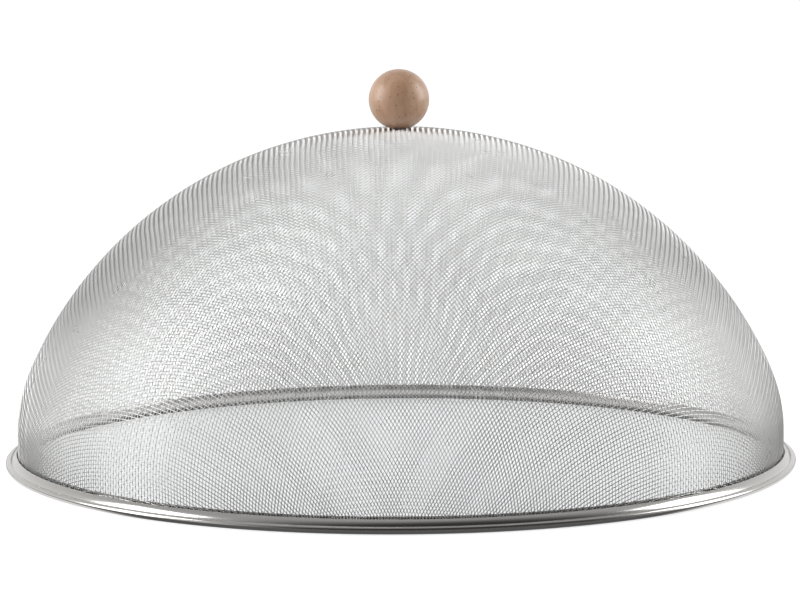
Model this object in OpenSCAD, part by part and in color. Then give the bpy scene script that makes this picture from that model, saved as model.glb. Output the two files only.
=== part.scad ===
// Domed wire-mesh food cover with a ball knob and a rolled rim.
// Millimetres, +Z up. The origin is the centre of the plane that the rim rests on.

/* [Dome] */
// Outer radius of the mesh wall where it enters the rim
wall_r = 194; // [160:1:240]
// Height from the lip of the rim to the top of the mesh
dome_h = 163; // [135:1:190]
// Radius of the shoulder between the crown and the upright wall
shoulder_r = 80; // [50:1:100]
// Height of the upright wall above the lip of the rim
wall_h = 10; // [4:0.5:20]

/* [Wire cloth] */
// Diameter of one wire
wire_d = 0.45; // [0.3:0.05:0.6]
// Spacing of neighbouring wires
wire_pitch = 1.9; // [1.6:0.1:3]
// Number of wires that one drawn strand stands for
wires_per_strand = 3; // [3:1:6]
// Turn of the weave about the axis, in degrees
weave_turn = 45; // [0:5:90]
// Lean of the strands next to the rim, in degrees from upright
edge_lean = 33; // [10:1:40]
// How steeply the lean grows from the crown to the rim
lean_power = 2.6; // [1.5:0.1:4]
// Gap between the two layers of strands
layer_gap = 0.05; // [0.02:0.01:0.2]
// Height of the pressed hem that joins the ends of the strands
hem_h = 4.5; // [3:0.25:5]

/* [Rim] */
// Height of the rim from its rest plane to its lip
rim_h = 6.5; // [6:0.1:12]
// Width of the rim outside the mesh wall
rim_w = 6; // [5:0.1:12]
// Thickness of the rim's sheet
sheet_t = 0.6; // [0.4:0.05:0.8]
// Diameter of the bead rolled along the outer edge
bead_d = 3.6; // [3:0.1:4]
// Turn of the roll from the flange to its free end, in degrees
roll_turn = 265; // [230:5:290]

/* [Clamp ring] */
// Thickness of the ring inside the mesh
ring_t = 1; // [0.6:0.1:2]
// Bevel along both upper edges of the ring
ring_bevel = 0.25; // [0.1:0.05:0.25]
// Fitting gap between the rim, the hems and the clamp ring
fit_gap = 0.05; // [0.02:0.01:0.15]

/* [Knob] */
// Diameter of the ball
knob_d = 30.5; // [24:0.5:45]
// Diameter of the flat under the ball
knob_flat_d = 10; // [8:0.5:14]

/* [Screw] */
// Diameter of the shank
screw_d = 4; // [3:0.1:4.4]
// Depth of the screw in the ball
screw_grip = 16; // [10:0.5:20]
// Length of the pointed end
screw_tip = 4; // [2:0.5:6]
// Diameter of the blunt point
screw_point_d = 0.6; // [0.2:0.1:1.5]
// Diameter of the head
head_d = 8; // [6:0.1:10]
// Height of the head
head_h = 2.6; // [2:0.1:4]
// Radius of the head's rounded face
head_crown_r = 5.6; // [5:0.1:12]
// Length of each slot of the cross recess
recess_l = 5; // [3:0.1:5.4]
// Width of each slot of the cross recess
recess_w = 1; // [0.6:0.1:1.4]
// Depth of the cross recess
recess_depth = 1.4; // [0.8:0.1:1.8]
// Gap between the shank and what it passes through
shank_gap = 0.05; // [0.02:0.01:0.15]

/* [Washer] */
// Outer diameter of the washer
washer_d = 18; // [12:0.5:24]
// Thickness of the washer
washer_t = 1; // [0.6:0.1:2]

/* [Hidden] */
$fn = 96;

// Distance that a cut runs past a face.
past = 1;
// The shoulder's arc stands proud of the crown and the wall by this much, so that they cross cleanly.
blend = 0.01;

// A strand is a bar with the steel area of the wires that it stands for.
strand_w = wire_d * sqrt(wires_per_strand * PI / 4);
strand_pitch = wire_pitch * wires_per_strand;

// The weft lies on the warp.
layer_step = strand_w + layer_gap;
weft_depth = 0;
warp_depth = weft_depth + layer_step;
cloth_t = warp_depth + strand_w;

// Dome profile: a crown arc and a shoulder arc on an upright wall.
lip_z = rim_h;
apex_z = lip_z + dome_h;
shoulder_z = lip_z + wall_h;
shoulder_x = wall_r - shoulder_r;
rise = apex_z + blend - shoulder_z;
crown_r = (pow(shoulder_x, 2) + pow(rise, 2) - pow(shoulder_r, 2)) / (2 * (rise - shoulder_r));
crown_z = apex_z + blend - crown_r;
crown_angle = atan2(shoulder_x, shoulder_z - crown_z);

// Length of each stretch of the profile, from the apex down.
crown_len = crown_r * crown_angle * PI / 180;
shoulder_len = shoulder_r * (90 - crown_angle) * PI / 180;
profile_len = crown_len + shoulder_len + wall_h;
// Longer than any line inside the dome.
far = 2 * (wall_r + dome_h);

// The hems hang below the lip, between the rim's leg and the clamp ring.
hem_top = lip_z - sheet_t;
hem_bottom = hem_top - hem_h;

// Rim section: an upright leg, a folded lip, a sloping flange and a rolled bead.
leg_r = wall_r + fit_gap;
lip_centre = [leg_r + sheet_t, lip_z - sheet_t];
bead_centre = [wall_r + rim_w - bead_d / 2, bead_d / 2];
flange = bead_centre - lip_centre;
flange_slope = atan2(flange[1], flange[0]);

// The roll starts inside the flange and turns outwards, in straight fan steps that lie clear of the bead.
roll_steps = 6;
roll_start = flange_slope + 180 - asin(sheet_t / bead_d);
roll_end = flange_slope + 180 - roll_turn;

// Clamp ring section.
ring_r = wall_r - cloth_t - fit_gap;
ring_h = lip_z;

// Knob, washer and screw stack on the axis. The washer meets the cloth along its edge.
knob_z = apex_z + sqrt(pow(knob_d, 2) - pow(knob_flat_d, 2)) / 2;
washer_sag = crown_r - sqrt(pow(crown_r, 2) - pow(washer_d / 2, 2));
washer_z = apex_z - cloth_t - fit_gap - washer_sag - washer_t;
head_z = washer_z - head_h;
screw_top = apex_z + screw_grip;
bore_d = screw_d + 2 * shank_gap;

// Slope of the profile at a length from the apex, in degrees: 0 is level and 90 is upright.
function slope_at(from_apex) =
    from_apex <= crown_len
    ? from_apex / crown_r * 180 / PI
    : min(90, crown_angle + (from_apex - crown_len) / shoulder_r * 180 / PI);

// Point [radius, height] of the profile at a length from the apex.
function profile_at(from_apex) =
    let (slope = slope_at(from_apex), facing = [sin(slope), cos(slope)])
    from_apex <= crown_len
    ? [0, crown_z] + crown_r * facing
    : [shoulder_x, shoulder_z] + shoulder_r * facing
        - [0, max(0, from_apex - crown_len - shoulder_len)];

// The cloth shears as it is drawn over the dome, so a strand far from the axis lies in a leaning plane.
function lean_at(from_apex) = edge_lean * pow(from_apex / profile_len, lean_power);

// Half section of the space under a surface that lies at a depth below the dome's outer face.
module dome_section(depth, bottom) {
    intersection() {
        translate([0, crown_z])
            circle(crown_r - blend - depth);
        translate([0, crown_z])
            polygon([[0, 0], [0, far], far * [sin(crown_angle), cos(crown_angle)]]);
    }
    translate([shoulder_x, shoulder_z])
        circle(shoulder_r - depth);
    translate([0, bottom])
        square([wall_r - blend - depth, shoulder_z - bottom]);
}

// Thin shell that one layer of strands is cut from.
module layer_shell(depth) {
    rotate_extrude()
        difference() {
            dome_section(depth, hem_bottom);
            dome_section(depth + strand_w, hem_bottom - past);
        }
}

// Leaning slab that cuts one strand from a shell, of a thickness that leaves the strand as wide as it is thick.
module strand_slab(from_apex) {
    top = profile_at(from_apex);
    lean = lean_at(from_apex);
    slab_t = strand_w * cos(slope_at(from_apex) - lean);
    drop = (top[1] - hem_bottom) / cos(lean);
    translate([top[0], 0, top[1]])
        rotate([0, lean, 0])
            translate([-slab_t / 2, -wall_r, -drop])
                cube([slab_t, 2 * wall_r, drop + strand_pitch]);
}

// One layer of the cloth: strands on both sides of the axis, and the pressed hem that joins their ends.
module cloth_layer(depth) {
    intersection() {
        layer_shell(depth);
        union() {
            for (side = [0, 1])
                mirror([side, 0, 0])
                    for (from_apex = [strand_pitch / 2 : strand_pitch : profile_len - strand_pitch / 2])
                        strand_slab(from_apex);
            translate([0, 0, hem_bottom - past])
                cylinder(r = wall_r + past, h = hem_h + past);
        }
    }
}

module mesh_warp() {
    color("silver")
        rotate([0, 0, weave_turn])
            cloth_layer(warp_depth);
}

module mesh_weft() {
    color("lightgrey")
        rotate([0, 0, weave_turn + 90])
            cloth_layer(weft_depth);
}

// Fan that covers the rolled part of the bead.
module roll_fan() {
    polygon(concat([[0, 0]], [
        for (k = [0 : roll_steps])
            let (turn = roll_start + (roll_end - roll_start) * k / roll_steps)
            bead_d * [cos(turn), sin(turn)]
    ]));
}

// Section of the rim's sheet. The roll stays open between its free end and the flange.
module rim_section() {
    difference() {
        union() {
            translate([leg_r, hem_bottom])
                square([sheet_t, lip_centre[1] - hem_bottom]);
            translate(lip_centre)
                circle(sheet_t);
            translate(lip_centre)
                rotate(flange_slope)
                    square([norm(flange), sheet_t]);
            translate(bead_centre)
                intersection() {
                    circle(d = bead_d);
                    roll_fan();
                }
        }
        translate(bead_centre)
            circle(d = bead_d - 2 * sheet_t);
    }
}

module rim() {
    color("gainsboro")
        rotate_extrude()
            rim_section();
}

module clamp_ring() {
    color("darkgrey")
        rotate_extrude()
            translate([ring_r - ring_t, 0])
                polygon([
                    [0, 0],
                    [ring_t, 0],
                    [ring_t, ring_h - ring_bevel],
                    [ring_t - ring_bevel, ring_h],
                    [ring_bevel, ring_h],
                    [0, ring_h - ring_bevel]
                ]);
}

module knob() {
    color("burlywood")
        difference() {
            translate([0, 0, knob_z])
                sphere(d = knob_d);
            translate([0, 0, apex_z - knob_d])
                cylinder(d = knob_d, h = knob_d);
            translate([0, 0, apex_z - past])
                cylinder(d = bore_d, h = screw_grip + shank_gap + past);
        }
}

module screw() {
    color("lightslategray")
        difference() {
            union() {
                intersection() {
                    translate([0, 0, head_z])
                        cylinder(d = head_d, h = head_h);
                    translate([0, 0, head_z + head_crown_r])
                        sphere(head_crown_r);
                }
                rotate_extrude()
                    polygon([
                        [0, washer_z - head_h / 2],
                        [screw_d / 2, washer_z - head_h / 2],
                        [screw_d / 2, screw_top - screw_tip],
                        [screw_point_d / 2, screw_top],
                        [0, screw_top]
                    ]);
            }
            for (turn = [0, 90])
                rotate(turn)
                    translate([-recess_l / 2, -recess_w / 2, head_z - past])
                        cube([recess_l, recess_w, recess_depth + past]);
        }
}

module washer() {
    color("lightgrey")
        translate([0, 0, washer_z])
            difference() {
                cylinder(d = washer_d, h = washer_t);
                translate([0, 0, -past])
                    cylinder(d = bore_d, h = washer_t + 2 * past);
            }
}

mesh_warp();
mesh_weft();
rim();
clamp_ring();
knob();
screw();
washer();
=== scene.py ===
"""Dresses a domed wire-mesh food cover: woven wire, polished steel, turned beech, studio and camera."""
import logging
import math
from dataclasses import dataclass
from enum import Enum
from typing import Any

import bpy
import numpy as np
from mathutils import Matrix, Vector


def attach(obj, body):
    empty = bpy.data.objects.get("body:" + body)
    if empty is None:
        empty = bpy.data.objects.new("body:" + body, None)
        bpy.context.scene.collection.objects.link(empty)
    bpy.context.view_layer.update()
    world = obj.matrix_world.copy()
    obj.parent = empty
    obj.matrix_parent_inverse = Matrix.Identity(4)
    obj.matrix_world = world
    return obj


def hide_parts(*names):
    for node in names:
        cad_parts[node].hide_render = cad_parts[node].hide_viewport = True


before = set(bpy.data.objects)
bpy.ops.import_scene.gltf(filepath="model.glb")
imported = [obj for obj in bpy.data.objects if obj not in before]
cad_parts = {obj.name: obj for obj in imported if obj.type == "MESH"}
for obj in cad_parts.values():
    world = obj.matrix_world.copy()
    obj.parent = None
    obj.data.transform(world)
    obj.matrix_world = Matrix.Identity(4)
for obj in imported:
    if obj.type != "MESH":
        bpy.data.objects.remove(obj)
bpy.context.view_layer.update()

LOG = logging.getLogger("food_cover")
MM = 0.001
# Radii below this, in millimetres, count as the axis.
ON_AXIS = 1e-6
BODY = "root"

# Radius and height of a point in a section, in millimetres.
Point = tuple[float, float]


def linear(hex_colour: str) -> tuple[float, float, float, float]:
    """Turns an sRGB hex colour to linear light.

    Args:
        hex_colour: Six hex digits, such as "c8c6c2".

    Returns:
        Red, green, blue and an alpha of 1.
    """
    parts = [int(hex_colour[k:k + 2], 16) / 255 for k in (0, 2, 4)]
    red, green, blue = (c / 12.92 if c <= 0.04045 else ((c + 0.055) / 1.055) ** 2.4 for c in parts)
    return red, green, blue, 1.0


def per_mm(size_mm: float) -> float:
    """Scale of a pattern on coordinates in metres, from its real size in millimetres."""
    return 1 / (size_mm * MM)


def add_node(
    tree: bpy.types.NodeTree,
    kind: str,
    settings: dict[str, Any] | None = None,
    inputs: dict[str | int, Any] | None = None,
) -> bpy.types.Node:
    """Adds a node with its settings, and links or sets its inputs.

    Args:
        tree: The tree that gets the node.
        kind: The node's type name.
        settings: The node's own properties by name.
        inputs: A socket to link, or a constant to set, by the input's name or place.

    Returns:
        The new node.
    """
    node = tree.nodes.new(kind)
    for name, value in (settings or {}).items():
        setattr(node, name, value)
    for key, value in (inputs or {}).items():
        if isinstance(value, bpy.types.NodeSocket):
            tree.links.new(value, node.inputs[key])
        else:
            node.inputs[key].default_value = value
    return node


def new_material(name: str) -> tuple[bpy.types.Material, bpy.types.NodeTree, bpy.types.Node]:
    """Makes a material with an empty tree.

    Args:
        name: The material's name.

    Returns:
        The material, its tree and its output node.
    """
    material = bpy.data.materials.new(name)
    material.use_nodes = True
    tree = material.node_tree
    tree.nodes.clear()
    return material, tree, add_node(tree, "ShaderNodeOutputMaterial")


def new_piece(name: str, mesh: bpy.types.Mesh) -> bpy.types.Object:
    """Puts a mesh into the scene as an object at the origin.

    Args:
        name: The object's name.
        mesh: Its mesh, in metres.

    Returns:
        The new object.
    """
    piece = bpy.data.objects.new(name, mesh)
    bpy.context.scene.collection.objects.link(piece)
    return piece


def hand_over(piece: bpy.types.Object, node: str) -> None:
    """Lets a finished piece stand for a CAD node and ride on the body.

    Args:
        piece: The finished object.
        node: The CAD node that it replaces.
    """
    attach(piece, BODY)
    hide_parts(node)
    LOG.info("%s stands for %s with %d faces", piece.name, node, len(piece.data.polygons))


class Family(Enum):
    """The two families of wires in the cloth."""

    WARP = "mesh_warp"
    WEFT = "mesh_weft"


@dataclass(frozen=True)
class SteelFinish:
    """A stainless steel surface, on which a pattern mixes a bright tone with a dull and rougher one."""

    name: str
    slot: str
    bright: str
    dull: str
    roughness_low: float
    roughness_high: float
    detail: float

    def pattern(self, tree: bpy.types.NodeTree) -> bpy.types.NodeSocket:
        """Draws the surface's own pattern, which each finish gives."""
        raise NotImplementedError

    def relief(self, tree: bpy.types.NodeTree, pattern: bpy.types.NodeSocket) -> bpy.types.NodeSocket | None:
        """Normal of a pattern that stands out from the surface, or None where it is smooth."""
        return None

    def cloudy(self, tree: bpy.types.NodeTree, size_mm: float) -> bpy.types.NodeSocket:
        """Draws clouds on Object coordinates.

        Args:
            tree: The material's tree.
            size_mm: The clouds' size.

        Returns:
            The clouds' value.
        """
        place = add_node(tree, "ShaderNodeTexCoord").outputs["Object"]
        return add_node(tree, "ShaderNodeTexNoise", None, {
            "Vector": place, "Scale": per_mm(size_mm), "Detail": self.detail}).outputs["Fac"]

    def streaky(self, tree: bpy.types.NodeTree, width_mm: float, length_mm: float) -> bpy.types.NodeSocket:
        """Draws streaks along a strip, on the piece's UV map.

        Args:
            tree: The material's tree.
            width_mm: The streaks' width.
            length_mm: The streaks' length.

        Returns:
            The streaks' value.
        """
        place = add_node(tree, "ShaderNodeTexCoord").outputs["UV"]
        along = add_node(tree, "ShaderNodeMapping", None, {
            "Vector": place, "Scale": (per_mm(length_mm), per_mm(width_mm), 1.0)}).outputs[0]
        return add_node(tree, "ShaderNodeTexNoise", None, {
            "Vector": along, "Scale": 1.0, "Detail": self.detail}).outputs["Fac"]

    def make(self) -> bpy.types.Material:
        """Builds the material.

        Returns:
            The steel's material.
        """
        material, tree, output = new_material(self.name)
        pattern = self.pattern(tree)
        colour = add_node(tree, "ShaderNodeMix", {"data_type": "RGBA"}, {
            0: pattern, 6: linear(self.bright), 7: linear(self.dull)}).outputs[2]
        roughness = add_node(tree, "ShaderNodeMapRange", None, {
            "Value": pattern, "To Min": self.roughness_low, "To Max": self.roughness_high}).outputs[0]
        surface = {"Base Color": colour, "Metallic": 1.0, "Roughness": roughness}
        relief = self.relief(tree, pattern)
        if relief is not None:
            surface["Normal"] = relief
        steel = add_node(tree, "ShaderNodeBsdfPrincipled", None, surface)
        tree.links.new(steel.outputs["BSDF"], output.inputs["Surface"])
        return material


@dataclass(frozen=True)
class DrawnWire(SteelFinish):
    """Stainless steel wire, drawn bright and woven.

    Drawing leaves a bright skin with a soft sheen, and weaving rubs it into cloudy, slightly duller patches.
    """

    name: str = "stainless_wire_drawn"
    slot: str = "mesh_steel"
    bright: str = "f0f0ef"
    dull: str = "e4e4e3"
    roughness_low: float = 0.24
    roughness_high: float = 0.34
    detail: float = 3.0
    cloud_mm: float = 22.0

    def pattern(self, tree: bpy.types.NodeTree) -> bpy.types.NodeSocket:
        """Draws the rubbed patches."""
        return self.cloudy(tree, self.cloud_mm)


@dataclass(frozen=True)
class PolishedStrip(SteelFinish):
    """Stainless steel strip, rolled to shape and polished.

    Rolling leaves faint lines along the strip under a mirror polish, which stretch each reflection across
    them. The real lines are finer, and are drawn this wide so that they show.
    """

    name: str = "stainless_strip_polished"
    slot: str = "rim_steel"
    bright: str = "d6d4d1"
    dull: str = "c2c0bd"
    roughness_low: float = 0.1
    roughness_high: float = 0.2
    detail: float = 2.0
    line_mm: float = 0.35
    line_length_mm: float = 60.0
    line_depth_mm: float = 0.01
    line_relief: float = 0.2

    def pattern(self, tree: bpy.types.NodeTree) -> bpy.types.NodeSocket:
        """Draws the lines along the strip."""
        return self.streaky(tree, self.line_mm, self.line_length_mm)

    def relief(self, tree: bpy.types.NodeTree, pattern: bpy.types.NodeSocket) -> bpy.types.NodeSocket:
        """Normal of the lines."""
        return add_node(tree, "ShaderNodeBump", None, {
            "Strength": self.line_relief, "Distance": self.line_depth_mm * MM, "Height": pattern}).outputs[0]


@dataclass(frozen=True)
class MillStrip(SteelFinish):
    """Stainless steel strip, cold rolled and left with its mill finish.

    The rolls leave a smooth grey skin, with soft dull streaks along the strip.
    """

    name: str = "stainless_strip_mill"
    slot: str = "ring_steel"
    bright: str = "cac9c7"
    dull: str = "aeadab"
    roughness_low: float = 0.14
    roughness_high: float = 0.24
    detail: float = 3.0
    streak_mm: float = 0.8
    streak_length_mm: float = 25.0

    def pattern(self, tree: bpy.types.NodeTree) -> bpy.types.NodeSocket:
        """Draws the streaks along the strip."""
        return self.streaky(tree, self.streak_mm, self.streak_length_mm)


@dataclass(frozen=True)
class PlainFastener(SteelFinish):
    """Stainless steel screw and washer, cold formed and tumbled.

    Tumbling leaves an even, slightly satin skin with small bright and dull spots.
    """

    name: str = "stainless_fastener_tumbled"
    slot: str = "fastener_steel"
    bright: str = "bdbcba"
    dull: str = "9d9c9a"
    roughness_low: float = 0.3
    roughness_high: float = 0.42
    detail: float = 2.0
    spot_mm: float = 0.8

    def pattern(self, tree: bpy.types.NodeTree) -> bpy.types.NodeSocket:
        """Draws the tumbled spots."""
        return self.cloudy(tree, self.spot_mm)


@dataclass(frozen=True)
class TurnedBeech:
    """Beech, turned with the grain upright, sanded and oiled.

    Beech is pale pinkish brown with soft growth bands and short dark ray flecks along the grain. The real
    pores are finer, and are drawn this wide so that they show.
    """

    name: str = "beech_turned_oiled"
    slot: str = "beech"
    pale: str = "d3aa8a"
    band: str = "bf8f6c"
    fleck: str = "6e4a35"
    band_mm: float = 5.0
    band_length_mm: float = 25.0
    band_detail: float = 4.0
    band_waver: float = 0.6
    band_from: float = 0.45
    band_to: float = 0.95
    pore_mm: float = 0.35
    pore_length_mm: float = 3.0
    pore_detail: float = 2.0
    pore_share: float = 0.35
    pore_depth_mm: float = 0.05
    pore_relief: float = 0.15
    fleck_mm: float = 2.0
    fleck_length_mm: float = 4.0
    fleck_core: float = 0.1
    fleck_edge: float = 0.2
    fleck_strength: float = 0.75
    roughness: float = 0.4
    ior: float = 1.5
    oil_film: float = 1.0
    oil_roughness: float = 0.35

    def make(self) -> bpy.types.Material:
        """Builds the material on Object coordinates, with the grain along Z.

        Returns:
            The wood's material.
        """
        material, tree, output = new_material(self.name)
        place = add_node(tree, "ShaderNodeTexCoord").outputs["Object"]
        broad, fine, cells = (
            add_node(tree, "ShaderNodeMapping", None, {
                "Vector": place, "Scale": (per_mm(width), per_mm(width), per_mm(length))}).outputs[0]
            for width, length in (
                (self.band_mm, self.band_length_mm),
                (self.pore_mm, self.pore_length_mm),
                (self.fleck_mm, self.fleck_length_mm),
            ))
        bands = add_node(tree, "ShaderNodeTexNoise", None, {
            "Vector": broad, "Scale": 1.0,
            "Detail": self.band_detail, "Distortion": self.band_waver}).outputs["Fac"]
        pores = add_node(tree, "ShaderNodeTexNoise", None, {
            "Vector": fine, "Scale": 1.0, "Detail": self.pore_detail}).outputs["Fac"]
        mixed = add_node(tree, "ShaderNodeMath", {"operation": "MULTIPLY_ADD"}, {
            0: pores, 1: self.pore_share, 2: bands}).outputs[0]
        share = add_node(tree, "ShaderNodeMapRange", {"interpolation_type": "SMOOTHSTEP"}, {
            "Value": mixed, "From Min": self.band_from, "From Max": self.band_to}).outputs[0]
        wood = add_node(tree, "ShaderNodeMix", {"data_type": "RGBA"}, {
            0: share, 6: linear(self.pale), 7: linear(self.band)}).outputs[2]
        spot = add_node(tree, "ShaderNodeTexVoronoi", {"feature": "F1"}, {
            "Vector": cells, "Scale": 1.0}).outputs["Distance"]
        flecks = add_node(tree, "ShaderNodeMapRange", {"interpolation_type": "SMOOTHSTEP"}, {
            "Value": spot, "From Min": self.fleck_core, "From Max": self.fleck_edge,
            "To Min": self.fleck_strength, "To Max": 0.0}).outputs[0]
        colour = add_node(tree, "ShaderNodeMix", {"data_type": "RGBA"}, {
            0: flecks, 6: wood, 7: linear(self.fleck)}).outputs[2]
        relief = add_node(tree, "ShaderNodeBump", None, {
            "Strength": self.pore_relief, "Distance": self.pore_depth_mm * MM, "Height": pores}).outputs[0]
        beech = add_node(tree, "ShaderNodeBsdfPrincipled", None, {
            "Base Color": colour, "Roughness": self.roughness, "IOR": self.ior, "Normal": relief,
            "Coat Weight": self.oil_film, "Coat Roughness": self.oil_roughness})
        tree.links.new(beech.outputs["BSDF"], output.inputs["Surface"])
        return material


@dataclass(frozen=True)
class FloorRing:
    """How bright the steel mirrors the floor, on an oval about the cover with this radius in front."""

    radius: float
    mirrored: float


@dataclass(frozen=True)
class PaleFloor:
    """White card, matt, which the camera sees as a white sweep, shaded under the cover by real shadow and by
    a painted shadow.

    The steel sees it bright under the cover, with painted shadow at the foot of the clamp ring and along the
    rim in front and behind, and painted shade further out. Lengths are in millimetres.
    """

    name: str = "white_card_matt"
    card: str = "e5e7e9"
    glow_in_painted_shadow: float = 0.41
    glow_open: float = 0.56
    under_to: float = 191.0
    open_from: float = 201.0
    painted_foot_shadow_level: float = 0.2
    foot_from: float = 2.0
    foot_to: float = 7.0
    oval: float = 0.9
    reach: float = 400.0
    # The steel mirrors a painted shadow along the rim, and painted shade further out.
    rings: tuple[FloorRing, ...] = (
        FloorRing(0, 1.0),
        FloorRing(189, 1.0),
        FloorRing(192, 0.14),
        FloorRing(230, 0.14),
        FloorRing(320, 0.7),
    )

    def make(self) -> bpy.types.Material:
        """Builds the material.

        Returns:
            The floor's material.
        """
        material, tree, output = new_material(self.name)
        place = add_node(tree, "ShaderNodeTexCoord").outputs["Object"]
        radius = add_node(tree, "ShaderNodeVectorMath", {"operation": "LENGTH"}, {
            0: place}).outputs["Value"]
        path = add_node(tree, "ShaderNodeLightPath").outputs
        # Less glow under the cover paints a shadow there, on top of the card's real shade.
        level = add_node(tree, "ShaderNodeMapRange", None, {
            "Value": radius, "From Min": self.under_to * MM, "From Max": self.open_from * MM,
            "To Min": self.glow_in_painted_shadow, "To Max": self.glow_open}).outputs[0]
        sweep = add_node(tree, "ShaderNodeMath", {"operation": "MULTIPLY"}, {
            0: path["Is Camera Ray"], 1: level}).outputs[0]
        card = add_node(tree, "ShaderNodeBsdfDiffuse", None, {"Color": linear(self.card)})
        glow = add_node(tree, "ShaderNodeEmission", None, {"Strength": sweep})
        shown = add_node(tree, "ShaderNodeAddShader", None, {
            0: card.outputs[0], 1: glow.outputs[0]})
        mirror = add_node(tree, "ShaderNodeEmission", None, {
            "Strength": self.mirrored_level(tree, place, radius)})
        by_steel = add_node(tree, "ShaderNodeMath", {"operation": "MAXIMUM"}, {
            0: path["Is Glossy Ray"], 1: path["Is Transmission Ray"]}).outputs[0]
        above = add_node(tree, "ShaderNodeMixShader", None, {
            0: by_steel, 1: shown.outputs[0], 2: mirror.outputs[0]})
        # Seen from below the card is clear, so that the underside of the cover can be looked at.
        clear = add_node(tree, "ShaderNodeBsdfTransparent")
        below = add_node(tree, "ShaderNodeNewGeometry").outputs["Backfacing"]
        surface = add_node(tree, "ShaderNodeMixShader", None, {
            0: below, 1: above.outputs[0], 2: clear.outputs[0]})
        tree.links.new(surface.outputs[0], output.inputs["Surface"])
        return material

    def mirrored_level(
        self, tree: bpy.types.NodeTree, place: bpy.types.NodeSocket, radius: bpy.types.NodeSocket
    ) -> bpy.types.NodeSocket:
        """Works out how bright the steel mirrors each point of the floor, painted shadow and shade included.

        Args:
            tree: The material's tree.
            place: The point.
            radius: The point's distance from the axis.

        Returns:
            The brightness, where 1 is white.
        """
        # A painted shadow along the foot of the clamp ring, for the steel to mirror.
        past_foot = add_node(tree, "ShaderNodeMath", {"operation": "SUBTRACT"}, {
            0: radius, 1: self.under_to * MM}).outputs[0]
        from_foot = add_node(tree, "ShaderNodeMath", {"operation": "ABSOLUTE"}, {0: past_foot}).outputs[0]
        foot = add_node(tree, "ShaderNodeMapRange", None, {
            "Value": from_foot, "From Min": self.foot_from * MM, "From Max": self.foot_to * MM,
            "To Min": self.painted_foot_shadow_level, "To Max": 1.0}).outputs[0]
        squeezed = add_node(tree, "ShaderNodeMapping", None, {
            "Vector": place, "Scale": (self.oval, 1.0, 1.0)}).outputs[0]
        spread = add_node(tree, "ShaderNodeVectorMath", {"operation": "LENGTH"}, {
            0: squeezed}).outputs["Value"]
        share = add_node(tree, "ShaderNodeMath", {"operation": "DIVIDE"}, {
            0: spread, 1: self.reach * MM}).outputs[0]
        ramp = add_node(tree, "ShaderNodeValToRGB", None, {"Fac": share})
        stops = ramp.color_ramp.elements
        while len(stops) < len(self.rings):
            stops.new(1.0)
        for stop, ring in zip(stops, self.rings):
            stop.position = ring.radius / self.reach
            stop.color = (ring.mirrored, ring.mirrored, ring.mirrored, 1.0)
        return add_node(tree, "ShaderNodeMath", {"operation": "MINIMUM"}, {
            0: foot, 1: ramp.outputs["Color"]}).outputs[0]


@dataclass(frozen=True)
class DomeProfile:
    """Outline that the cloth is drawn over, in millimetres: crown arc, shoulder arc and upright wall."""

    wall_r: float = 194.0
    dome_h: float = 163.0
    shoulder_r: float = 80.0
    wall_h: float = 10.0
    lip_z: float = 6.5
    inset: float = 0.72

    @property
    def shoulder_x(self) -> float:
        """Radius of the shoulder's centre line."""
        return self.wall_r - self.shoulder_r

    @property
    def shoulder_z(self) -> float:
        """Height of the shoulder's centre."""
        return self.lip_z + self.wall_h

    @property
    def outer_crown_r(self) -> float:
        """Radius of the crown arc on the outer face."""
        rise = self.dome_h - self.wall_h
        return (self.shoulder_x ** 2 + rise ** 2 - self.shoulder_r ** 2) / (2 * (rise - self.shoulder_r))

    @property
    def apex_z(self) -> float:
        """Height of the outer face on the axis."""
        return self.lip_z + self.dome_h

    @property
    def crown_z(self) -> float:
        """Height of the crown's centre."""
        return self.apex_z - self.outer_crown_r

    @property
    def crown_angle(self) -> float:
        """Slope where the crown meets the shoulder, in radians."""
        return math.atan2(self.shoulder_x, self.shoulder_z - self.crown_z)

    def at(self, length: np.ndarray) -> tuple[np.ndarray, np.ndarray]:
        """Finds points of the inset outline.

        Args:
            length: Lengths along the outline from the apex.

        Returns:
            The radius and the height of each point.
        """
        crown_r = self.outer_crown_r - self.inset
        shoulder_r = self.shoulder_r - self.inset
        crown_len = crown_r * self.crown_angle
        shoulder_len = shoulder_r * (math.pi / 2 - self.crown_angle)
        on_crown = np.minimum(length, crown_len) / crown_r
        on_shoulder = self.crown_angle + np.clip(length - crown_len, 0, shoulder_len) / shoulder_r
        below = np.maximum(0, length - crown_len - shoulder_len)
        radius = np.where(length <= crown_len, crown_r * np.sin(on_crown),
                          self.shoulder_x + shoulder_r * np.sin(on_shoulder))
        height = np.where(length <= crown_len, self.crown_z + crown_r * np.cos(on_crown),
                          self.shoulder_z + shoulder_r * np.cos(on_shoulder) - below)
        return radius, height

    def distance(self, points: np.ndarray) -> tuple[np.ndarray, np.ndarray]:
        """Measures how far points lie outside the inset dome.

        Args:
            points: Points, one to a row.

        Returns:
            Each point's distance and the outward direction there.
        """
        radius = np.maximum(np.hypot(points[:, 0], points[:, 1]), ON_AXIS)
        radial = points[:, :2] / radius[:, None]
        crown = np.stack([radius, points[:, 2] - self.crown_z], 1)
        shoulder = np.stack([radius - self.shoulder_x, points[:, 2] - self.shoulder_z], 1)
        on_crown = np.arctan2(crown[:, 0], crown[:, 1]) <= self.crown_angle
        on_wall = points[:, 2] < self.shoulder_z
        centre = np.where(on_crown[:, None], crown, shoulder)
        size = np.linalg.norm(centre, axis=1)
        reach = np.where(on_crown, self.outer_crown_r, self.shoulder_r) - self.inset
        facing = np.where(on_wall[:, None], [[1.0, 0.0]], centre / size[:, None])
        gap = np.where(on_wall, radius - self.wall_r + self.inset, size - reach)
        return gap, np.column_stack([radial * facing[:, :1], facing[:, 1]])


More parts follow.
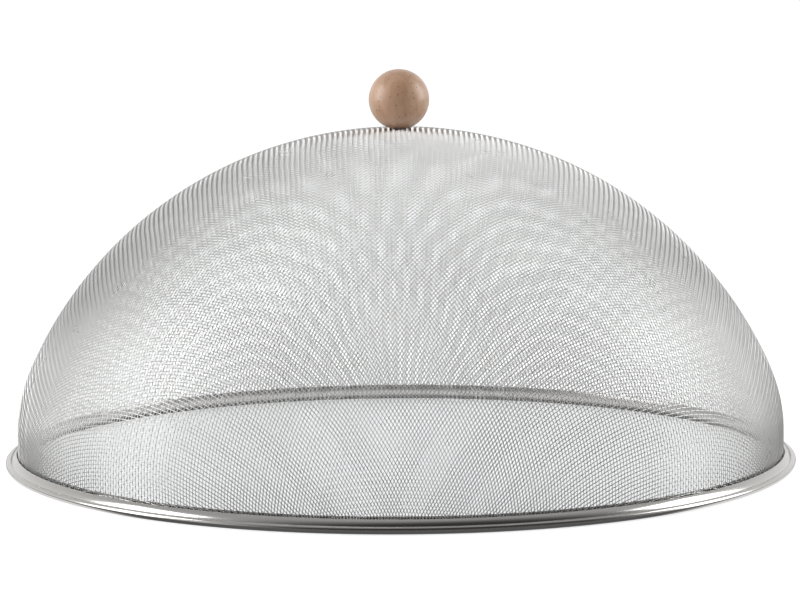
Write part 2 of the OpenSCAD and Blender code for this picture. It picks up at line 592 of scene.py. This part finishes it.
@dataclass
class MeshDome:
    """The woven cloth, drawn over the dome so that its wires keep their spacing and shear towards the rim.

    Sizes are in millimetres, and the weave's turn about the axis is in degrees.
    """

    profile: DomeProfile
    finish: DrawnWire
    pitch: float = 1.9
    wire_d: float = 0.45
    weave_turn: float = 45.0
    end_z: float = 1.6
    hole_r: float = 2.4
    lengths: int = 152
    groups: int = 4
    sides: int = 4
    solver_steps: int = 8
    wander: float = 0.12
    wander_mm: float = 50.0
    wander_waves: int = 12
    seed: int = 11

    def build(self) -> list[bpy.types.Object]:
        """Makes the wires of both families.

        Returns:
            The pieces, in groups that stay small enough to export whole.
        """
        points, facing, kept = self.net()
        tree = self.wire_tree()
        material = self.finish.make()
        pieces = []
        for family in Family:
            for group in range(self.groups):
                chains = self.chains(points, facing, kept, family, group)
                pieces.append(self.sweep(chains, f"{family.value}_{group + 1}", tree, material))
                hand_over(pieces[-1], family.value)
        return pieces

    def net(self) -> tuple[np.ndarray, np.ndarray, np.ndarray]:
        """Finds every crossing of the cloth.

        Returns:
            The crossings, the outward direction at each, and which of them are kept.
        """
        count = self.lengths
        quarter = np.full((count + 1, count + 1, 3), np.nan)
        radius, height = self.profile.at(np.arange(count + 1) * self.pitch)
        still = np.zeros(count + 1)
        quarter[:, 0] = np.stack([radius, still, height], 1)
        quarter[0, :] = np.stack([still, radius, height], 1)
        for diagonal in range(2, 2 * count + 1):
            row = np.arange(max(1, diagonal - count), min(count, diagonal - 1) + 1)
            column = diagonal - row
            quarter[row, column] = self.next_crossings(
                quarter[row - 1, column], quarter[row, column - 1], quarter[row - 1, column - 1])
        index = np.arange(-count, count + 1)
        points = quarter[np.abs(index)[:, None], np.abs(index)[None, :]].copy()
        points[..., 0] *= np.where(index < 0, -1, 1)[:, None]
        points[..., 1] *= np.where(index < 0, -1, 1)[None, :]
        turn = math.radians(self.weave_turn)
        along, aside = math.cos(turn), math.sin(turn)
        points = points @ np.array([[along, aside, 0], [-aside, along, 0], [0, 0, 1]])
        off_axis = np.hypot(points[..., 0], points[..., 1])
        kept = (points[..., 2] > self.end_z) & (off_axis > self.hole_r)
        facing = np.zeros_like(points)
        facing[kept] = self.profile.distance(points[kept])[1]
        points[kept] += self.drift(points[kept], facing[kept])
        return points, facing, kept

    def drift(self, points: np.ndarray, facing: np.ndarray) -> np.ndarray:
        """Lets crossings wander a little along the dome, as the wires of drawn cloth do.

        Args:
            points: The crossings.
            facing: The outward direction at each.

        Returns:
            The shift of each crossing.
        """
        draw = np.random.default_rng(self.seed)
        waves = draw.normal(size=(3, self.wander_waves)) * 2 * math.pi / self.wander_mm
        phase = draw.uniform(0, 2 * math.pi, size=(self.wander_waves, 3))
        swing = np.sin((points @ waves)[..., None] + phase).sum(1)
        shift = swing * self.wander * math.sqrt(2 / self.wander_waves)
        return shift - (shift * facing).sum(1, keepdims=True) * facing

    def next_crossings(self, before: np.ndarray, beside: np.ndarray, corner: np.ndarray) -> np.ndarray:
        """Finds crossings one pitch from two known neighbours each, on the dome.

        Args:
            before: The neighbours along the warp.
            beside: The neighbours along the weft.
            corner: The crossings between those neighbours.

        Returns:
            The new crossings, with nan where the cloth has ended.
        """
        found = np.full_like(before, np.nan)
        known = np.isfinite(before + beside + corner).all(1) & (corner[:, 2] > -self.profile.lip_z)
        before, beside = before[known], beside[known]
        guess = before + beside - corner[known]
        for _ in range(self.solver_steps):
            gap, out = self.profile.distance(guess)
            to_before, to_beside = guess - before, guess - beside
            error = np.stack([
                gap,
                (to_before ** 2).sum(1) - self.pitch ** 2,
                (to_beside ** 2).sum(1) - self.pitch ** 2], 1)
            slope = np.stack([out, 2 * to_before, 2 * to_beside], 1)
            guess = guess - np.linalg.solve(slope, error[..., None])[..., 0]
        found[known] = guess
        return found

    def chains(
        self, points: np.ndarray, facing: np.ndarray, kept: np.ndarray, family: Family, group: int
    ) -> bpy.types.Mesh:
        """Joins crossings to chains, one along each wire of a group.

        Args:
            points: The crossings.
            facing: The outward direction at each.
            kept: Which crossings the cloth keeps.
            family: The family of wires.
            group: Which share of the family's wires.

        Returns:
            A mesh of edges, with the outward direction and the side of the cloth on its points.
        """
        place = np.indices(kept.shape).sum(0)
        side = np.where(place % 2 == 0, 1.0, -1.0)
        if family is Family.WEFT:
            points, facing = points.swapaxes(0, 1), facing.swapaxes(0, 1)
            kept, side = kept.T, -side.T
        shares = np.arange(self.groups + 1) / self.groups
        ends = np.searchsorted(kept.sum(1).cumsum(), shares * kept.sum())
        ends[-1] = len(kept)
        strip = slice(ends[group], ends[group + 1])
        points, facing, kept, side = points[strip], facing[strip], kept[strip], side[strip]
        number = np.cumsum(kept.ravel()).reshape(kept.shape) - 1
        joined = kept[:, :-1] & kept[:, 1:]
        edges = np.stack([number[:, :-1][joined], number[:, 1:][joined]], 1)
        mesh = bpy.data.meshes.new(f"{family.value}_chains")
        mesh.from_pydata((points[kept] * MM).tolist(), edges.tolist(), [])
        out = mesh.attributes.new("facing", "FLOAT_VECTOR", "POINT")
        out.data.foreach_set("vector", facing[kept].astype(np.float32).ravel())
        over = mesh.attributes.new("over", "FLOAT", "POINT")
        over.data.foreach_set("value", side[kept].astype(np.float32))
        return mesh

    def wire_tree(self) -> bpy.types.NodeTree:
        """Builds the tree that crimps chains of crossings and sweeps a wire along each.

        Returns:
            The tree, with the wire's sizes and material as its inputs.
        """
        tree = bpy.data.node_groups.new("woven_wire", "GeometryNodeTree")
        for name, way, kind in (
            ("Geometry", "INPUT", "NodeSocketGeometry"),
            ("Wire Radius", "INPUT", "NodeSocketFloat"),
            ("Crimp", "INPUT", "NodeSocketFloat"),
            ("Sides", "INPUT", "NodeSocketInt"),
            ("Material", "INPUT", "NodeSocketMaterial"),
            ("Geometry", "OUTPUT", "NodeSocketGeometry"),
        ):
            tree.interface.new_socket(name, in_out=way, socket_type=kind)
        sizes = add_node(tree, "NodeGroupInput").outputs
        facing = add_node(tree, "GeometryNodeInputNamedAttribute", {"data_type": "FLOAT_VECTOR"}, {
            "Name": "facing"}).outputs["Attribute"]
        over = add_node(tree, "GeometryNodeInputNamedAttribute", {"data_type": "FLOAT"}, {
            "Name": "over"}).outputs["Attribute"]
        rise = add_node(tree, "ShaderNodeMath", {"operation": "MULTIPLY"}, {
            0: over, 1: sizes["Crimp"]}).outputs[0]
        offset = add_node(tree, "ShaderNodeVectorMath", {"operation": "SCALE"}, {
            "Vector": facing, "Scale": rise}).outputs[0]
        crimped = add_node(tree, "GeometryNodeSetPosition", None, {
            "Geometry": sizes["Geometry"], "Offset": offset}).outputs[0]
        path = add_node(tree, "GeometryNodeMeshToCurve", None, {"Mesh": crimped}).outputs[0]
        section = add_node(tree, "GeometryNodeCurvePrimitiveCircle", None, {
            "Resolution": sizes["Sides"], "Radius": sizes["Wire Radius"]}).outputs[0]
        wire = add_node(tree, "GeometryNodeCurveToMesh", None, {
            "Curve": path, "Profile Curve": section, "Fill Caps": True}).outputs[0]
        smooth = add_node(tree, "GeometryNodeSetShadeSmooth", None, {"Geometry": wire}).outputs[0]
        real = add_node(tree, "GeometryNodeRealizeInstances", None, {"Geometry": smooth}).outputs[0]
        dressed = add_node(tree, "GeometryNodeSetMaterial", None, {
            "Geometry": real, "Material": sizes["Material"]}).outputs[0]
        add_node(tree, "NodeGroupOutput", None, {"Geometry": dressed})
        return tree

    def sweep(
        self, chains: bpy.types.Mesh, name: str, tree: bpy.types.NodeTree, material: bpy.types.Material
    ) -> bpy.types.Object:
        """Runs the tree on chains and keeps the result as a plain mesh.

        Args:
            chains: The mesh of edges.
            name: The piece's name.
            tree: The tree of wires.
            material: The wire's material.

        Returns:
            The finished piece.
        """
        # A section with few sides reaches further at its corners, to look as wide as the round wire.
        corner = math.pi / self.sides
        values = {
            "Wire Radius": self.wire_d / 2 * corner / math.sin(corner) * MM,
            "Crimp": self.wire_d / 2 * MM,
            "Sides": self.sides,
            "Material": material,
        }
        piece = new_piece(name, chains)
        modifier = piece.modifiers.new("wires", "NODES")
        modifier.node_group = tree
        for item in tree.interface.items_tree:
            if item.name in values:
                modifier[item.identifier] = values[item.name]
        graph = bpy.context.evaluated_depsgraph_get()
        swept = bpy.data.meshes.new_from_object(piece.evaluated_get(graph), depsgraph=graph)
        piece.modifiers.clear()
        piece.data = swept
        bpy.data.meshes.remove(chains)
        swept.name = name
        return piece


def arc(centre: Point, radius: float, start: float, end: float, steps: int) -> list[Point]:
    """Points of an arc in a section.

    Args:
        centre: Radius and height of the arc's centre.
        radius: The arc's radius.
        start: First angle in degrees, from outwards towards up.
        end: Last angle in degrees.
        steps: Number of stretches.

    Returns:
        The points, both ends among them.
    """
    angles = [math.radians(start + (end - start) * k / steps) for k in range(steps + 1)]
    return [(centre[0] + radius * math.cos(a), centre[1] + radius * math.sin(a)) for a in angles]


def bulge(start: Point, end: Point, height: float, steps: int) -> list[Point]:
    """Points of a shallow parabola between two points of a section, to the left of the way.

    Args:
        start: Radius and height of the first point.
        end: Radius and height of the last point.
        height: How far the middle stands out.
        steps: Number of stretches.

    Returns:
        The points between the two ends.
    """
    along = np.subtract(end, start)
    out = np.array([-along[1], along[0]]) / np.linalg.norm(along)
    return [
        tuple(np.array(start) + along * t + out * height * 4 * t * (1 - t))
        for t in np.arange(1, steps) / steps]


def revolve(name: str, outline: list[Point], turns: int, closed: bool, sharp: float) -> bpy.types.Mesh:
    """Turns an outline about the vertical axis into a closed skin.

    Args:
        name: The mesh's name.
        outline: The section's points, anticlockwise, so that the faces point outwards. An open outline starts
            and ends on the axis.
        turns: Number of stretches round the axis.
        closed: Whether the outline's end joins its start.
        sharp: Edges that bend by more than this angle in degrees stay crisp.

    Returns:
        The mesh, with a UV map in metres: round the axis, and along the outline.
    """
    flat = np.array(outline)
    angle = np.arange(turns) * 2 * math.pi / turns
    verts: list[tuple[float, float, float]] = []
    rings: list[list[int]] = []
    for radius, height in outline:
        spots = [(0.0, 0.0, height)] if radius < ON_AXIS else [
            (radius * math.cos(a), radius * math.sin(a), height) for a in angle]
        rings.append([len(verts) + k % len(spots) for k in range(turns)])
        verts += spots
    step = np.linalg.norm(np.diff(np.vstack([flat, flat[:1]]), axis=0), axis=1)
    run = np.concatenate([[0], np.cumsum(step)]) * MM
    mean_r = flat[:, 0].mean() * MM
    faces, uvs = [], []
    for low in range(len(outline) if closed else len(outline) - 1):
        high = (low + 1) % len(outline)
        for k in range(turns):
            after = (k + 1) % turns
            start = angle[k] * mean_r
            end = start + 2 * math.pi * mean_r / turns
            corners = [
                (rings[low][k], start, run[low]),
                (rings[low][after], end, run[low]),
                (rings[high][after], end, run[low + 1]),
                (rings[high][k], start, run[low + 1]),
            ]
            unique = [c for n, c in enumerate(corners) if c[0] != corners[n - 1][0]]
            faces.append([c[0] for c in unique])
            uvs += [c[1:] for c in unique]
    mesh = bpy.data.meshes.new(name)
    mesh.from_pydata([tuple(MM * c for c in v) for v in verts], [], faces)
    layer = mesh.uv_layers.new(name="strip")
    layer.data.foreach_set("uv", np.array(uvs, np.float32).ravel())
    mesh.shade_smooth()
    mesh.set_sharp_from_angle(angle=math.radians(sharp))
    return mesh


@dataclass
class RimFrame:
    """The folded and rolled rim, and the clamp ring inside the cloth, in millimetres and degrees."""

    profile: DomeProfile
    rim_finish: PolishedStrip
    ring_finish: MillStrip
    rim_w: float = 6.0
    sheet_t: float = 0.6
    bead_d: float = 3.6
    roll_turn: float = 265.0
    flange_bulge: float = 0.22
    leg_foot: float = 1.4
    cloth_t: float = 1.43
    fit_gap: float = 0.05
    ring_t: float = 1.0
    ring_bevel: float = 0.15
    ring_rise: float = 0.9
    ring_crown: float = 0.45
    lip_steps: int = 12
    roll_steps: int = 48
    core_steps: int = 36
    fold_steps: int = 4
    flange_steps: int = 10
    crown_steps: int = 12
    turns: int = 480
    sharp: float = 40.0

    def build(self) -> list[bpy.types.Object]:
        """Makes and dresses the rim and the ring.

        Returns:
            The two pieces.
        """
        pieces = []
        for node, outline, finish in (
            ("rim", self.rim_outline(), self.rim_finish),
            ("clamp_ring", self.ring_outline(), self.ring_finish),
        ):
            skin = revolve(node, outline[::-1], self.turns, True, self.sharp)
            piece = new_piece(f"{node}_strip", skin)
            piece.data.materials.append(finish.make())
            hand_over(piece, node)
            pieces.append(piece)
        return pieces

    def rim_outline(self) -> list[Point]:
        """Section of the sheet: leg, folded lip, sloping flange and a roll that is open at its free end.

        Returns:
            The outline's points, clockwise.
        """
        wall_r = self.profile.wall_r
        leg = wall_r + self.fit_gap
        lip = (leg + self.sheet_t, self.profile.lip_z - self.sheet_t)
        bead_r = self.bead_d / 2
        bead = (wall_r + self.rim_w - bead_r, bead_r)
        slope = math.degrees(math.atan2(bead[1] - lip[1], bead[0] - lip[0]))
        crease = slope + 180 - math.degrees(math.asin(self.sheet_t / bead_r))
        roll_end = slope + 180 - self.roll_turn
        lip_arc = arc(lip, self.sheet_t, 180, slope + 90, self.lip_steps)
        roll = arc(bead, bead_r, crease, roll_end, self.roll_steps)
        core = arc(bead, bead_r - self.sheet_t, roll_end, slope + 180, self.core_steps)
        fold = arc(lip, self.sheet_t, slope, -90, self.fold_steps)
        return [
            (leg, self.leg_foot),
            *lip_arc,
            *bulge(lip_arc[-1], roll[0], self.flange_bulge, self.flange_steps),
            *roll,
            *core,
            *bulge(core[-1], fold[0], -self.flange_bulge, self.flange_steps),
            *fold,
            (lip[0], self.leg_foot),
        ]

    def ring_outline(self) -> list[Point]:
        """Section of the clamp ring: a band with a crowned inner face and bevelled upper edges.

        Returns:
            The outline's points, clockwise.
        """
        outer = self.profile.wall_r - self.cloth_t - self.fit_gap
        inner = outer - self.ring_t + self.ring_crown
        bevel, top = self.ring_bevel, self.profile.lip_z + self.ring_rise
        foot, brow = (inner, 0.0), (inner, top - bevel)
        return [
            foot,
            *bulge(foot, brow, self.ring_crown, self.crown_steps),
            brow,
            (inner + bevel, top),
            (outer - bevel, top),
            (outer, top - bevel),
            (outer, 0.0),
        ]


@dataclass
class KnobSet:
    """The ball knob with its screw and washer, in millimetres and degrees."""

    profile: DomeProfile
    wood: TurnedBeech
    steel: PlainFastener
    knob_d: float = 30.5
    flat_d: float = 10.0
    bore_d: float = 4.1
    bore_depth: float = 16.05
    edge_r: float = 0.5
    edge_steps: int = 4
    round_end: float = 89.0
    round_steps: int = 64
    turns: int = 128
    sharp: float = 50.0

    def build(self) -> list[bpy.types.Object]:
        """Makes the turned ball, and dresses the screw and the washer.

        Returns:
            The three pieces.
        """
        skin = revolve("knob", self.ball_outline(), self.turns, False, self.sharp)
        ball = new_piece("knob_turned", skin)
        ball.data.materials.append(self.wood.make())
        hand_over(ball, "knob")
        material = self.steel.make()
        fasteners = [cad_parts[node] for node in ("screw", "washer")]
        for piece in fasteners:
            piece.data.materials.clear()
            piece.data.materials.append(material)
            LOG.info("%s keeps its CAD mesh", piece.name)
        return [ball, *fasteners]

    def ball_outline(self) -> list[Point]:
        """Section of the ball: pilot bore, flat, eased edge and round.

        Returns:
            The outline's points, from the bore's end on the axis to the top of the ball.
        """
        radius, base_z = self.knob_d / 2, self.profile.apex_z
        rise = math.sqrt(radius ** 2 - (self.flat_d / 2) ** 2)
        # The eased edge touches the flat and the ball from inside.
        lift = rise - self.edge_r
        edge_x = math.sqrt((radius - self.edge_r) ** 2 - lift ** 2)
        meet = math.degrees(math.atan2(-lift, edge_x))
        bore, bore_z = self.bore_d / 2, base_z + self.bore_depth
        return [
            (0.0, bore_z),
            (bore, bore_z),
            (bore, base_z),
            *arc((edge_x, base_z + self.edge_r), self.edge_r, -90, meet, self.edge_steps),
            *arc((0.0, base_z + rise), radius, meet, self.round_end, self.round_steps)[1:],
            (0.0, base_z + rise + radius),
        ]


@dataclass(frozen=True)
class SoftBox:
    """A soft area lamp that faces the middle of the cover, in millimetres and watts."""

    name: str
    place: tuple[float, float, float]
    power: float
    width: float = 900.0
    height: float = 1200.0

    def build(self, aim: Vector) -> bpy.types.Object:
        """Makes the lamp.

        Args:
            aim: The point that it faces, in metres.

        Returns:
            The lamp.
        """
        lamp = bpy.data.lights.new(self.name, "AREA")
        lamp.shape = "RECTANGLE"
        lamp.size, lamp.size_y = self.width * MM, self.height * MM
        lamp.energy = self.power
        thing = bpy.data.objects.new(self.name, lamp)
        thing.location = Vector(self.place) * MM
        thing.rotation_euler = (aim - thing.location).to_track_quat("-Z", "Y").to_euler()
        bpy.context.scene.collection.objects.link(thing)
        return thing


def towards(azimuth: float, elevation: float) -> Vector:
    """Direction from the cover, by degrees to the right of the camera and up from the floor."""
    side, rise = math.radians(azimuth), math.radians(elevation)
    return Vector((math.sin(side) * math.cos(rise), -math.cos(side) * math.cos(rise), math.sin(rise)))


@dataclass
class Studio:
    """A white tent with a dark side behind the camera, a pale floor and the camera of the photograph.

    Lengths are in millimetres, angles in degrees, and a brightness of 1 is white.
    """

    profile: DomeProfile
    floor: PaleFloor
    boxes: tuple[SoftBox, ...] = (
        SoftBox("softbox_left", place=(-1500, -150, 700), power=10),
        SoftBox("softbox_right", place=(1500, 250, 700), power=9),
    )
    aim_z: float = 90.0
    floor_side: float = 6000.0
    floor_front: float = 700.0
    ambient: float = 1.2
    tent: float = 0.92
    dark: float = 0.08
    dark_azimuth: float = 15.0
    dark_elevation: float = 15.0
    dark_from: float = 40.0
    dark_to: float = 80.0
    ceiling: float = 0.5
    ceiling_from: float = 0.0
    ceiling_to: float = 75.0
    fill: float = 0.35
    elevation: float = 9.96
    distance: float = 2500.0
    focal_px: float = 4925.0
    drop_px: float = 147.35
    roll: float = -0.3
    width_px: int = 800
    sensor: float = 36.0

    def build(self) -> None:
        """Makes the floor, the world, the lamps and the camera."""
        self.build_floor()
        self.build_world()
        for box in self.boxes:
            box.build(Vector((0, 0, self.aim_z * MM)))
        self.build_camera()
        bpy.context.scene.view_settings.view_transform = "Standard"

    def build_floor(self) -> None:
        """Lays the floor under the rim."""
        side, front = self.floor_side * MM, self.floor_front * MM
        mesh = bpy.data.meshes.new("floor")
        corners = [(-side, -front, 0), (side, -front, 0), (side, side, 0), (-side, side, 0)]
        mesh.from_pydata(corners, [], [(0, 1, 2, 3)])
        mesh.materials.append(self.floor.make())
        floor = new_piece("floor", mesh)

    def build_world(self) -> None:
        """Makes the tent: white to the camera, and dimmer on the camera's side for what it lights."""
        world = bpy.data.worlds.new("tent")
        bpy.context.scene.world = world
        world.use_nodes = True
        tree = world.node_tree
        tree.nodes.clear()
        tent = self.tent_level(tree)
        path = add_node(tree, "ShaderNodeLightPath").outputs
        direct = add_node(tree, "ShaderNodeMath", {"operation": "MAXIMUM"}, {
            0: path["Is Camera Ray"], 1: path["Is Transmission Ray"]}).outputs[0]
        backdrop = add_node(tree, "ShaderNodeMath", {"operation": "MAXIMUM"}, {
            0: tent, 1: direct}).outputs[0]
        seen = add_node(tree, "ShaderNodeMath", {"operation": "MAXIMUM"}, {
            0: direct, 1: path["Is Glossy Ray"]}).outputs[0]
        filled = add_node(tree, "ShaderNodeMath", {"operation": "MAXIMUM"}, {
            0: tent, 1: self.fill}).outputs[0]
        lit = add_node(tree, "ShaderNodeMath", {"operation": "MULTIPLY"}, {
            0: filled, 1: self.ambient}).outputs[0]
        strength = add_node(tree, "ShaderNodeMix", {"data_type": "FLOAT"}, {
            0: seen, 2: lit, 3: backdrop}).outputs[0]
        sky = add_node(tree, "ShaderNodeBackground", None, {
            "Color": (1, 1, 1, 1), "Strength": strength})
        add_node(tree, "ShaderNodeOutputWorld", None, {"Surface": sky.outputs[0]})

    def tent_level(self, tree: bpy.types.NodeTree) -> bpy.types.NodeSocket:
        """Works out how bright the tent is in each direction.

        Args:
            tree: The world's tree.

        Returns:
            The brightness, low on the camera's side and lower towards the ceiling.
        """
        place = add_node(tree, "ShaderNodeTexCoord").outputs["Generated"]
        facing = add_node(tree, "ShaderNodeVectorMath", {"operation": "DOT_PRODUCT"}, {
            0: place, 1: towards(self.dark_azimuth, self.dark_elevation)}).outputs["Value"]
        sides = add_node(tree, "ShaderNodeMapRange", {"interpolation_type": "SMOOTHSTEP"}, {
            "Value": facing,
            "From Min": math.cos(math.radians(self.dark_to)),
            "From Max": math.cos(math.radians(self.dark_from)),
            "To Min": self.tent, "To Max": self.dark}).outputs[0]
        height = add_node(tree, "ShaderNodeSeparateXYZ", None, {"Vector": place}).outputs["Z"]
        ceiling = add_node(tree, "ShaderNodeMapRange", {"interpolation_type": "SMOOTHSTEP"}, {
            "Value": height,
            "From Min": math.sin(math.radians(self.ceiling_from)),
            "From Max": math.sin(math.radians(self.ceiling_to)),
            "To Min": 1.0, "To Max": self.ceiling}).outputs[0]
        return add_node(tree, "ShaderNodeMath", {"operation": "MULTIPLY"}, {
            0: sides, 1: ceiling}).outputs[0]

    def build_camera(self) -> None:
        """Places the camera, worked out for a picture that is 800 pixels wide."""
        data = bpy.data.cameras.new("camera")
        data.sensor_width = self.sensor
        data.lens = self.focal_px * self.sensor / self.width_px
        camera = bpy.data.objects.new("camera", data)
        target = Vector((0, 0, self.profile.lip_z)) * MM
        look_down = math.radians(self.elevation) - math.atan(self.drop_px / self.focal_px)
        tilt = Matrix.Rotation(math.pi / 2 - look_down, 4, "X")
        roll = Matrix.Rotation(math.radians(self.roll), 4, "Z")
        place = Matrix.Translation(target + towards(0, self.elevation) * self.distance * MM)
        camera.matrix_world = place @ tilt @ roll
        bpy.context.scene.collection.objects.link(camera)
        bpy.context.scene.camera = camera


def main() -> None:
    """Builds the cover and its studio in order, and reports each piece."""
    logging.basicConfig(level=logging.INFO, format="%(name)s: %(message)s")
    profile = DomeProfile()
    for assembly in (
        MeshDome(profile, DrawnWire()),
        RimFrame(profile, PolishedStrip(), MillStrip()),
        KnobSet(profile, TurnedBeech(), PlainFastener()),
    ):
        pieces = assembly.build()
        LOG.info("%s has %d pieces", type(assembly).__name__, len(pieces))
    Studio(profile, PaleFloor()).build()


if __name__ == "__main__":
    main()
